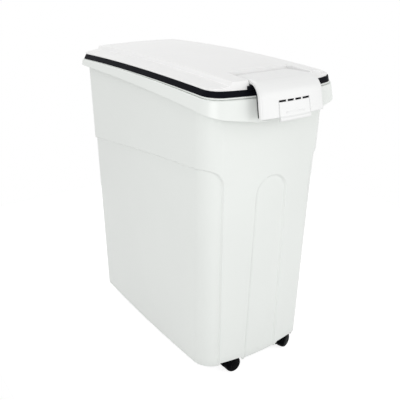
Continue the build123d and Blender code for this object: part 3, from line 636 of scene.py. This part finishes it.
def lidSheet(outset, grow, up):
    # a height field inside the lid's boundary: a middle sheet and two side strips that reach the rounded corners
    ratio, tailRatio = [(ends[key] + outset) / (ends[key] + lid["edge"] - lid["edgeRound"]) for key in ends]
    x = lidColumns(lidKeysY[:, None]) * ratio
    x = x * (1 + (tailRatio / ratio - 1) * smooth((lidKeysY + 100) / 200))[:, None]
    order = np.arange(len(lidKeysY))[:, None] * lid["pack"]
    frontY = rimArcs["noseY"] - np.sqrt((ends["nose"] + outset) ** 2 - x**2)
    backY = rimArcs["tailY"] + np.sqrt((ends["tail"] + outset) ** 2 - x**2)
    y = np.minimum(np.maximum(lidKeysY[:, None], frontY + order), backY - order[::-1])
    y[0], y[-1] = frontY[0], backY[-1]
    middle = np.stack([np.concatenate([-x[:, :0:-1], x], 1), np.concatenate([y[:, :0:-1], y], 1)], -1)
    outer = lidLoop["side"] + lidLoop["sideNormal"] * outset
    share = np.linspace(0, 1, 9)[None, :, None]
    inner = np.stack([x[:, -1], y[:, -1]], -1)[:, None]
    strip = inner + (outer[:, None] - inner) * share
    shells = []
    for flat in (middle, strip, strip[:, ::-1] * np.array([-1, 1])):
        faces = gridFaces(*flat.shape[:2])
        shells.append((raised(flat, lidHeight(*np.moveaxis(flat, -1, 0), grow)), [faces if up else faces[:, ::-1]]))
    return shells


def lidShell():
    # top sheet, rounded edge, flange, plug wall and underside sheet, welded where their boundaries meet
    outset = lid["edge"] - lid["edgeRound"]
    inside = lid["plugOut"] - lid["plugWall"] - 0.6
    base, normal = lidLoop["base"], lidLoop["normal"]

    def flat(value):
        return base + normal * value

    edgeTop = lidHeight(*flat(outset).T, 0.0)
    edgeUnder = lidHeight(*flat(inside).T, lid["wall"])
    drop = crownDrop(base[:, 1])
    seat = rim["sealFoot"] + rim["sealHeight"] - drop
    foot = rim["sealFoot"] - lid["plugDepth"] - drop
    plug, r, edge, plugIn = lid["plugOut"], lid["edgeRound"], lid["edge"], lid["plugOut"] - lid["plugWall"]
    rows = [(outset, edgeTop), (edge - r * 0.5, edgeTop - r * 0.13), (edge - r * 0.13, edgeTop - r * 0.5),
            (edge, edgeTop - r), (edge, seat + 0.4), (edge - 0.35, seat + 0.05), (plug, seat + 0.05),
            (plug, foot + 0.5), (plug - 0.35, foot), (plugIn + 0.35, foot), (plugIn, foot + 0.5),
            (plugIn, edgeUnder - 1.2), (inside, edgeUnder)]
    points = np.array([raised(flat(value), height) for value, height in rows])
    ring = points, [gridFaces(len(rows), len(base), closeColumns=True)[:, ::-1]]
    return lidSheet(outset, 0.0, True) + [ring] + lidSheet(inside, lid["wall"], False)


def hingeArmShells():
    # arms from the lid's flange over the seal to the pins
    back, lean = rim["back"], rim["sealLean"]
    atArm = hinge["centre"] + hinge["armWidth"] / 2
    root = back - lean - (ends["tail"] - math.sqrt(ends["tail"]**2 - atArm**2)) - hinge["rootInset"]
    low = rim["sealFoot"] + rim["sealHeight"] + 0.3 - crownDrop(root)
    outline = np.concatenate([[(root, low), (root, low + 1.6), (back - lean, low + 4.7), (back + lean, low + 4.7)],
                              roundOutline(hinge["y"], hinge["z"], hinge["armRadius"], 45, -180, 24),
                              [(back + lean - 1.3, low - 2.6), (back - 1.3, low)]])
    half = hinge["armWidth"] / 2
    return prismPairs(outline, [(hinge["centre"] - half, hinge["centre"] + half)], 0.5)


pads = {"inner": 58.0, "outer": 71.2, "back": -237.5, "front": -246.9, "rise": 0.35}


def padShells():
    # the seal's ends beside the latch: pads over the front edge of the bay's floor
    top = lid["bayFloor"] - crownDrop(pads["back"]) + pads["rise"]
    foot = rim["sealFoot"] + rim["sealHeight"] - crownDrop(pads["front"]) - 0.5
    outline = [(pads["back"], top), (pads["back"], foot + 2), (pads["front"] + 2, foot), (pads["front"], foot),
               (pads["front"] + 0.1, top - 1.0), (pads["front"] + 1.0, top)]
    return prismPairs(outline, [(pads["inner"], pads["outer"])], 0.3)


def lugShells():
    # two lugs in the trough that carry the latch's pin
    (y, z), r = latch["pin"], latch["knuckle"]
    foot = lid["troughFloor"] - 1.1
    outline = np.concatenate([[(y - r, foot), (y + 0.9, foot), (y + 1.6, z - 3.4)],
                              roundOutline(y, z, r, -60, 180, 26)])
    return prismPairs(outline, [latch["lugs"]], 0.4)


latch = {"axisY": 184.0, "halfAngle": 8.6, "wall": 2.3, "depth": 7.0, "round": 4.6, "top": 569.2, "bend": -250.0,
         "shoulder": (-266.0, 561.5), "brow": (-275.0, 547.0), "lip": (-282.6, 511.5), "pin": (-197.0, 562.2),
         "roll": 7.0, "rollStart": 28.0, "knuckle": 3.9, "knuckleHalf": 55.2, "lugs": (44.0, 50.0), "sideGap": 0.6,
         "bowFade": 30.0, "frontRadius": 466.6, "sideRadius": 460.0, "frontSteps": (6, 20)}
flap = {"halfAngle": 4.08, "gap": 0.6, "top": 535.0, "hingeLine": 538.4, "wall": 2.6, "ovalX": 12.0, "ovalZ": 5.0,
        "ovalMiddle": 517.5, "ovalHeight": 0.25, "webWidth": 3.0, "radius": 466.0, "faceLow": 513.5,
        "thumbLip": [[-282.75, 512.3], [-283.6, 511.3], [-284.7, 510.4], [-285.25, 509.3], [-285.5, 507.8],
                     [-285.45, 506.3], [-285.0, 505.2], [-284.2, 504.6], [-283.2, 504.5]]}


def frontLine(z):
    # y of the latch's straight front at z
    (browY, browZ), (lipY, lipZ) = latch["brow"], latch["lip"]
    return browY + (lipY - browY) * (browZ - z) / (browZ - lipZ)


def turned(span, z, turn):
    # points at a distance from the latch's plan centre, turned about it
    return np.stack(np.broadcast_arrays(span * np.sin(turn), latch["axisY"] - span * np.cos(turn), z), -1)


def hoodCurve():
    # the hood's skin in Y and Z with outward normals: rear roll, flat top, shoulder arc and straight front
    (pinY, pinZ), roll = latch["pin"], latch["roll"]
    angle = np.radians(np.linspace(latch["rollStart"], 90, 12))
    points, normals = [unit(angle) * roll + [pinY, pinZ]], [unit(angle)]
    y = np.linspace(pinY, latch["bend"], 16)[1:-1]
    points.append(np.stack([y, latch["top"] + 0 * y], -1))
    normals.append(np.stack([0 * y, 1 + 0 * y], -1))
    brow, lip = latch["brow"], latch["lip"]
    cy, cz, radius = arcThrough((latch["bend"], latch["top"]), latch["shoulder"], brow)
    start = math.atan2(latch["top"] - cz, latch["bend"] - cy)
    angle = np.linspace(start, math.atan2(brow[1] - cz, brow[0] - cy), 20)
    points.append(unit(angle) * radius + [cy, cz])
    normals.append(unit(angle))
    z = spaced([brow[1], flap["hingeLine"], lip[1]], latch["frontSteps"])[1:]
    points.append(np.stack([frontLine(z), z], -1))
    dy, dz = lip[0] - brow[0], lip[1] - brow[1]
    normals.append(np.tile([dz, -dy], (len(z), 1)) / math.hypot(dy, dz))
    points, normals = np.concatenate(points), np.concatenate(normals)
    blend = normals.copy()
    for _ in range(2):
        blend[1:-1] = (blend[:-2] + blend[1:-1] * 2 + blend[2:]) / 4
    return points, blend / np.linalg.norm(blend, axis=1)[:, None]


def hoodShell():
    # the curve turned about the latch's plan centre: side wall, rounded edge, face, and back down; the flap's
    # opening is left out, and the rear roll stays straight along the pin. Solidify gives it its wall.
    curve, normals = hoodCurve()
    radius = latch["axisY"] - curve[:, 0]
    half = math.radians(latch["halfAngle"])
    opening = math.radians(flap["halfAngle"]) + flap["gap"] / latch["frontRadius"]
    r = latch["round"]
    arc = np.linspace(0, math.pi / 2, 9)
    inFromSide = np.concatenate([[0, 0, 0], r * (1 - np.cos(arc))])
    depth = np.concatenate([latch["depth"] - np.array([0, 0.9, 1.8]), r * (1 - np.sin(arc))])
    wide = np.linspace(0, 1, 15)[1:]
    left = -half + inFromSide[None] / radius[:, None]
    fill = left[:, -1:] + (-opening - left[:, -1:]) * wide[None]
    across = np.linspace(-opening, opening, 41)[1:-1]
    middle = np.broadcast_to(across, (len(curve), len(across)))
    turn = np.concatenate([left, fill, middle, -fill[:, ::-1], -left[:, ::-1]], 1)
    deep = np.concatenate([depth, 0 * wide, 0 * across, 0 * wide, depth[::-1]])
    flat = curve[:, None] - normals[:, None] * deep[None, :, None]
    span = latch["axisY"] - flat[..., 0]
    bow = smooth((latch["pin"][0] + 2 - flat[..., 0]) / latch["bowFade"])
    points = np.stack([span * np.sin(turn), flat[..., 0] + span * (1 - np.cos(turn)) * bow, flat[..., 1]], -1)
    rows, columns = turn.shape
    faces = gridFaces(rows, columns)
    r0, c0 = faces[:, 0] // columns, faces[:, 0] % columns
    startColumn = len(depth) + len(wide) - 1
    hole = (r0 >= rows - 1 - latch["frontSteps"][1]) & (c0 >= startColumn) & (c0 < columns - 1 - startColumn)
    return points, [faces[~hole][:, ::-1]]


def knuckleShells():
    # three knuckles under the hood's rear roll, round the pin
    (y, z), r = latch["pin"], latch["knuckle"]
    outline = np.concatenate([[(y + r, 567.6), (y - r, 567.6)], roundOutline(y, z, r, 180, 360, 24)])
    inner, outer = latch["lugs"][0] - latch["sideGap"], latch["lugs"][1] + latch["sideGap"]
    return [prism(outline, -inner, inner, 0.3)] + prismPairs(outline, [(outer, latch["knuckleHalf"])], 0.3)


def flapShell():
    # a closed outline turned about the latch's plan centre: face with a faint oval ridge, thumb lip, back
    top, lipZ = flap["top"], latch["lip"][1]
    z = np.linspace(top - 0.5, flap["faceLow"], 34)
    face = np.stack([frontLine(z), z], -1)
    back = np.array([[-280.8, 504.5], [-280.2, 504.9]] + [
        [frontLine(at) + flap["wall"] - less, z] for at, less, z in (
            (508.0, 0, 508.0), (lipZ, 0, lipZ), (525.0, 0, 525.0), (top, 0, top - 0.5), (top, 0.5, top),
            (top, flap["wall"] - 0.5, top))])
    outline = np.concatenate([face, flap["thumbLip"], back])
    half, radius = math.radians(flap["halfAngle"]), flap["radius"]
    soften = np.array([0.5, 0.15, 0.0])
    side = np.array([0.0, 0.12, 0.5]) / radius
    turn = np.concatenate([-half + side, np.linspace(-half + 1.5 / radius, half - 1.5 / radius, 71),
                           (half - side)[::-1]])[:, None]
    inset = np.concatenate([soften, np.zeros(71), soften[::-1]])
    toward = np.array([-281.0, 520.0]) - outline
    onFace = (np.arange(len(outline)) < len(face))[:, None]
    pull = np.where(onFace, np.array([1.0, 0.2]), 0.7 * np.sign(toward))
    flat = outline[None] + pull[None] * inset[:, None, None]
    span = latch["axisY"] - flat[..., 0]
    rho = np.hypot(span * np.sin(turn) / flap["ovalX"], (flat[..., 1] - flap["ovalMiddle"]) / flap["ovalZ"])
    ridge = flap["ovalHeight"] * np.exp(-(((rho - 1) / 0.13) ** 2)) * onFace[:, 0]
    points = turned(span + ridge, flat[..., 1], turn)
    return points, tubeFaces(*points.shape[:2])


def webShells():
    # three thin webs between the hood and the flap
    y = frontLine(flap["hingeLine"]) + flap["wall"] / 2
    shells = []
    for step in (-1, 0, 1):
        turn = math.radians(flap["halfAngle"]) / 2 * step
        rise = (latch["axisY"] - y) * (1 - math.cos(turn))
        outline = np.array([(y - 0.9, 538.8), (y - 1.3, 534.4), (y + 0.2, 534.4), (y + 0.6, 538.8)]) + [rise, 0]
        middle = (latch["axisY"] - y) * math.sin(turn)
        shells.append(prism(outline, middle - flap["webWidth"] / 2, middle + flap["webWidth"] / 2, 0.3))
    return shells


# sizes of the black sheets behind the latch that paint shade into the slots and the gaps beside the hood
shadeSheet = {"wall": 0.9, "behind": 3.0, "top": (533.2, 545.0), "sideLow": 513.5, "reach": 1.0, "stripOut": 0.5,
         "stripWall": 1.2, "stripDepth": (5.5, 11.0), "stripHeights": (513.0, 560.0)}


def bandShell(y, z, depth, turns):
    # a plate behind the hood: a line in Y and Z, its copy further in, turned about the latch's plan centre
    outline = np.concatenate([np.stack([y, z], -1), np.stack([y + depth, z], -1)[::-1]])
    angle = np.linspace(*turns, 2 + int(abs(turns[1] - turns[0]) * 300))[:, None]
    return turned(latch["axisY"] - outline[:, 0], outline[:, 1], angle), tubeFaces(len(angle), len(outline))


def shadeSheetShells():
    # painted shade behind the latch: black sheets that stand in for the shade in the flap's slots and in the gaps
    # beside the hood; a band over the flap's slots, one down each side of the flap, and a strip behind each side wall
    # of the hood
    edge = math.radians(flap["halfAngle"]) + flap["gap"] / latch["frontRadius"]
    reach = shadeSheet["reach"] / latch["frontRadius"]
    low, high = shadeSheet["top"]
    z = np.linspace(high, low, 8)
    shells = [bandShell(frontLine(z) + shadeSheet["behind"], z, shadeSheet["wall"], (-edge - 3 * reach, edge + 3 * reach))]
    z = np.linspace(low, shadeSheet["sideLow"], 10)
    for side in (-1, 1):
        turns = sorted((side * (edge - reach), side * (edge + 2 * reach)))
        shells.append(bandShell(frontLine(z) + shadeSheet["behind"], z, shadeSheet["wall"], turns))
    curve, normals = hoodCurve()
    low, high = shadeSheet["stripHeights"]
    kept = (curve[:, 1] < high) & (curve[:, 1] > low)
    curve, normals = curve[kept], normals[kept]
    near, far = [curve - normals * depth for depth in shadeSheet["stripDepth"]]
    outline = np.concatenate([near, far[::-1]])
    outer = math.radians(latch["halfAngle"]) - shadeSheet["stripOut"] / latch["sideRadius"]
    for side in (-1, 1):
        angle = side * np.array([outer - shadeSheet["stripWall"] / latch["sideRadius"], outer])[::side, None]
        shells.append((turned(latch["axisY"] - outline[:, 0], outline[:, 1], angle), tubeFaces(2, len(outline))))
    return shells


hook = {"outline": [(-281.5, 516.0), (-272.2, 516.0), (-271.4, 516.9), (-271.6, 519.0), (-273.0, 519.4),
                    (-281.5, 519.4)], "half": 20.0}


def hookShell():
    # the hook behind the flap, which snaps under the tub's catch
    return prism(hook["outline"], -hook["half"], hook["half"], 0.4)


wheel = {"radius": 17.0, "width": 16.0, "tread": 9.0, "gap": 4.4, "trail": 10.0, "axle": 2.6, "bite": 11.4,
         "turns": {"front_left": 92.0, "front_right": 112.0, "back_left": 98.0, "back_right": 75.0}}


def wheelShell(place, side):
    # a profile of (radius, distance from the web) turned about the axle: bore, recessed inner face, tread with two
    # fine grooves, dome, hub ring and cap
    r, w, t = wheel["radius"], wheel["width"], wheel["tread"]
    hub = r * 0.55
    angle = np.linspace(0, math.pi / 2, 12)[1:-1]
    dome = np.stack([hub + (r - hub) * np.cos(angle), t + (w - t) * np.sin(angle)], -1)
    profile = np.concatenate([[(0, wheel["bite"]), (wheel["axle"], wheel["bite"]), (wheel["axle"], 0.3),
                               (wheel["axle"] + 0.3, 0), (5.4, 0), (5.8, 0.5), (6.2, 1.4), (13.2, 1.4), (13.6, 1.0),
                               (13.9, 0.0), (r - 0.8, 0), (r - 0.2, 0.25), (r, 0.8), (r, 2.8), (r - 0.3, 3.0),
                               (r - 0.3, 3.4), (r, 3.6), (r, 6.0), (r - 0.3, 6.2), (r - 0.3, 6.6), (r, 6.8), (r, t)],
                              dome, [(hub, w), (hub - 0.3, w - 0.1), (hub - 0.9, w - 0.55), (hub - 1.6, w - 0.55),
                                     (hub - 2.1, w - 0.2), (hub - 2.8, w - 0.05), (3.2, w), (0, w)]])
    turn = math.radians(wheel["turns"][place])
    x = -casters["x"] if place.endswith("left") else casters["x"]
    y = casters["frontY"] if place.startswith("front") else casters["backY"]
    (radius, out), around = profile.T[..., None], wholeTurn(56)
    across, along = side * (out + wheel["gap"] / 2), radius * np.sin(around) - wheel["trail"]
    points = np.stack([x + across * math.cos(turn) - along * math.sin(turn),
                       y + across * math.sin(turn) + along * math.cos(turn),
                       radius * np.cos(around) + r - tubOrigin[2] * 1000], -1)
    faces = gridFaces(len(profile), len(around), closeColumns=True)
    return points, [faces[:, ::-1] if side > 0 else faces]


# Finishes

def feed(tree, node, inputs):
    # sets a node's inputs to values, or links them to outputs of other nodes
    for key, value in inputs.items():
        if isinstance(value, bpy.types.NodeSocket):
            tree.links.new(value, node.inputs[key])
        else:
            node.inputs[key].default_value = value
    return node


def newNode(tree, kind, inputs={}):
    return feed(tree, tree.nodes.new("ShaderNode" + kind), inputs)


def newTree(owner):
    owner.use_nodes = True
    return owner.node_tree


noises = {"cloudScale": 9.0, "cloudDetail": 4.0, "grainDetail": 3.0, "grainDepth": 0.0002, "smearScale": 35.0,
          "smearDetail": 5.0, "toneStops": (0.3, 0.7)}


def finish(name, look):
    # moulded plastic, rubber or metal: two close colours in slow clouds, a fine grain as bump and uneven gloss
    material = bpy.data.materials.new(name)
    tree = newTree(material)
    place = newNode(tree, "TexCoord").outputs["Object"]
    spread = newNode(tree, "Mapping", {"Scale": look.get("stretch", (1, 1, 1)), "Vector": place}).outputs["Vector"]

    def noise(scale, detail):
        return newNode(tree, "TexNoise", {"Scale": scale, "Detail": detail, "Vector": spread}).outputs["Fac"]

    clouds = noise(look.get("cloudScale", noises["cloudScale"]), noises["cloudDetail"])
    tone = newNode(tree, "ValToRGB", {"Fac": clouds})
    for stop, position, way in zip(tone.color_ramp.elements, noises["toneStops"], (-1, 1)):
        stop.position = position
        stop.color = (*np.array(look["colour"]) * (1 + way * look["mottle"]), 1)
    bump = newNode(tree, "Bump", {"Strength": look["grain"], "Distance": noises["grainDepth"],
                                  "Height": noise(look["grainScale"], noises["grainDetail"])})
    gloss = newNode(tree, "MapRange", {"To Min": look["rough"] - look["roughSpread"],
                                       "To Max": look["rough"] + look["roughSpread"],
                                       "Value": noise(noises["smearScale"], noises["smearDetail"])})
    feed(tree, tree.nodes["Principled BSDF"],
         {"IOR": look.get("ior", 1.49), "Metallic": look.get("metal", 0.0),
          "Specular IOR Level": look.get("specular", 0.5), "Base Color": tone.outputs["Color"],
          "Normal": bump.outputs["Normal"], "Roughness": gloss.outputs["Result"]})
    return material


looks = {
    "tub": {"colour": (0.80, 0.825, 0.80), "mottle": 0.012, "cloudScale": 5.0, "grain": 0.05, "grainScale": 700.0,
            "rough": 0.32, "roughSpread": 0.04},
    "lid": {"colour": (0.84, 0.84, 0.835), "mottle": 0.01, "grain": 0.04, "grainScale": 800.0, "rough": 0.34,
            "roughSpread": 0.04},
    "latch": {"colour": (0.81, 0.815, 0.81), "mottle": 0.008, "grain": 0.04, "grainScale": 800.0, "rough": 0.32,
              "roughSpread": 0.04},
    "seal": {"colour": (0.004, 0.0045, 0.007), "mottle": 0.15, "grain": 0.3, "grainScale": 1500.0, "rough": 0.48,
             "roughSpread": 0.08, "ior": 1.45, "specular": 0.04},
    "caster": {"colour": (0.0015, 0.0018, 0.0026), "mottle": 0.15, "grain": 0.4, "grainScale": 1800.0, "rough": 0.5,
               "roughSpread": 0.08, "specular": 0.02},
    "wheel": {"colour": (0.0014, 0.0017, 0.0024), "mottle": 0.2, "grain": 0.25, "grainScale": 1400.0, "rough": 0.38,
              "roughSpread": 0.1, "specular": 0.02},
    "steel": {"colour": (0.56, 0.56, 0.57), "mottle": 0.06, "grain": 0.25, "grainScale": 900.0, "rough": 0.3,
              "roughSpread": 0.1, "metal": 1.0, "stretch": (1, 1, 0.08)},
}
finishes = {name: finish(name + "Finish", look) for name, look in looks.items()}
print("finishes made")


# Pieces

tubShells = [wallShell(), floorShell()] + [wellShell(centre) for centre in wellCentres] + rimShells()
addPiece("tubWithRim", tubShells + earShells() + [catchShell()], "tub_body", "tub", ("tub",))
print("tub made")
addPiece("sideSeal", [sealShell()], "lid_body", "seal", ("lid_seal",))
addPiece("crownedLid", lidShell() + hingeArmShells() + lugShells(), "lid_body", "lid", ("lid",), weld=True)
addPiece("sealPads", padShells(), "lid_body", "seal")
print("lid made")
hood = addPiece("latchHood", [hoodShell()], "latch_body", "latch", ("latch_hood",))
thick = hood.modifiers.new("wall", "SOLIDIFY")
thick.thickness = latch["wall"] * 0.001
thick.offset = -1.0
addPiece("latchKnuckles", knuckleShells(), "latch_body", "latch")
addPiece("releaseFlap", [flapShell(), hookShell()] + webShells(), "flap_body", "latch", ("release_flap",))
# black sheets behind the latch in the seal's finish: painted shade in the flap's slots and beside the hood
addPiece("latchPaintedShade", shadeSheetShells(), "latch_body", "seal")
print("latch made")
for place in wheel["turns"]:
    for name, side in (("outer", -1), ("inner", 1)):
        node = "wheel_" + name + "_" + place
        addPiece(node + "_tyre", [wheelShell(place, side)], node, "wheel", (node,))
print("wheels made")

carried = {"caster_yoke_": "caster", "caster_stem_": "steel", "caster_axle_": "steel", "latch_pin": "steel",
           "hinge_pin_": "steel"}
for node, obj in frame["nodes"].items():
    for start, name in carried.items():
        if node.startswith(start):
            obj.data.materials.clear()
            obj.data.materials.append(finishes[name])


# Stage, camera and light

stage = {"floorX": (-0.45, 0.9), "floorY": (-0.6, 0.9), "floorTone": 0.5, "floorRough": 0.9, "floorGlow": 0.8,
         "world": 0.62}
lamps = {"key": {"at": (1.4, -2.1, 0.9), "to": (0, 0, 0.45), "size": 2.2, "power": 20.0},
         "fill": {"at": (-1.8, -1.5, 0.85), "to": (0, 0, 0.5), "size": 1.5, "power": 19.5},
         "top": {"at": (-0.2, 1.0, 2.2), "to": (0, 0, 0.4), "size": 1.6, "power": 11.0}}


def addMath(tree, operation, first, second):
    node = newNode(tree, "Math", {0: first, 1: second})
    node.operation = operation
    return node.outputs["Value"]


def mixed(tree, share, first, second):
    return newNode(tree, "MixShader", {"Fac": share, 1: first, 2: second}).outputs["Shader"]


def seenRays(tree):
    # 1 for the rays that show the background: straight ones, mirrored ones and ones through glass
    ray = newNode(tree, "LightPath").outputs
    straight = addMath(tree, "MAXIMUM", ray["Is Camera Ray"], ray["Is Glossy Ray"])
    return addMath(tree, "MAXIMUM", straight, ray["Is Transmission Ray"])


def makeFloor():
    (x0, x1), (y0, y1) = stage["floorX"], stage["floorY"]
    mesh = bpy.data.meshes.new("floorCard")
    mesh.from_pydata([(x0, y0, 0), (x1, y0, 0), (x1, y1, 0), (x0, y1, 0)], [], [(0, 1, 2, 3)])
    material = bpy.data.materials.new("floorPaper")
    tree = newTree(material)
    paper = feed(tree, tree.nodes["Principled BSDF"],
                 {"Base Color": (stage["floorTone"],) * 3 + (1,), "Roughness": stage["floorRough"],
                  "Emission Color": (1, 1, 1, 1),
                  "Emission Strength": addMath(tree, "MULTIPLY", seenRays(tree), stage["floorGlow"])}).outputs["BSDF"]
    # clear from below, so that the underside can be looked at
    below, clear = newNode(tree, "NewGeometry").outputs["Backfacing"], newNode(tree, "BsdfTransparent").outputs["BSDF"]
    feed(tree, tree.nodes["Material Output"], {"Surface": mixed(tree, below, paper, clear)})
    mesh.materials.append(material)
    addObject("floorCard", mesh)


def makeWorld():
    world = bpy.data.worlds.new("studio")
    bpy.context.scene.world = world
    tree = newTree(world)
    room = feed(tree, tree.nodes["Background"], {"Color": (1, 1, 1, 1), "Strength": stage["world"]})
    seen = newNode(tree, "Background", {"Color": (1, 1, 1, 1), "Strength": 1.0})
    mix = mixed(tree, seenRays(tree), room.outputs["Background"], seen.outputs["Background"])
    feed(tree, tree.nodes["World Output"], {"Surface": mix})


def makeLamp(name, values):
    data = bpy.data.lights.new(name, "AREA")
    data.shape = "DISK"
    data.size, data.energy = values["size"], values["power"]
    lamp = addObject(name, data)
    lamp.location = values["at"]
    lamp.rotation_euler = (Vector(values["to"]) - Vector(values["at"])).to_track_quat("-Z", "Y").to_euler()


view = {"at": (-671.44, -984.92, 758.09), "turn": 34.354, "down": 22.535, "focal": 597.29, "frame": 400.0}


def makeCamera():
    data = bpy.data.cameras.new("photoView")
    data.sensor_width = 36.0
    data.lens = view["focal"] / view["frame"] * data.sensor_width
    camera = addObject("photoView", data)
    camera.location = Vector(view["at"]) * 0.001 + Vector(tubOrigin.tolist())
    camera.rotation_euler = Euler((math.pi / 2 - math.radians(view["down"]), 0, -math.radians(view["turn"])))
    bpy.context.scene.camera = camera


makeFloor()
makeWorld()
for name, values in lamps.items():
    makeLamp(name, values)
makeCamera()
bpy.context.scene.view_settings.view_transform = "Standard"
print("stage made")
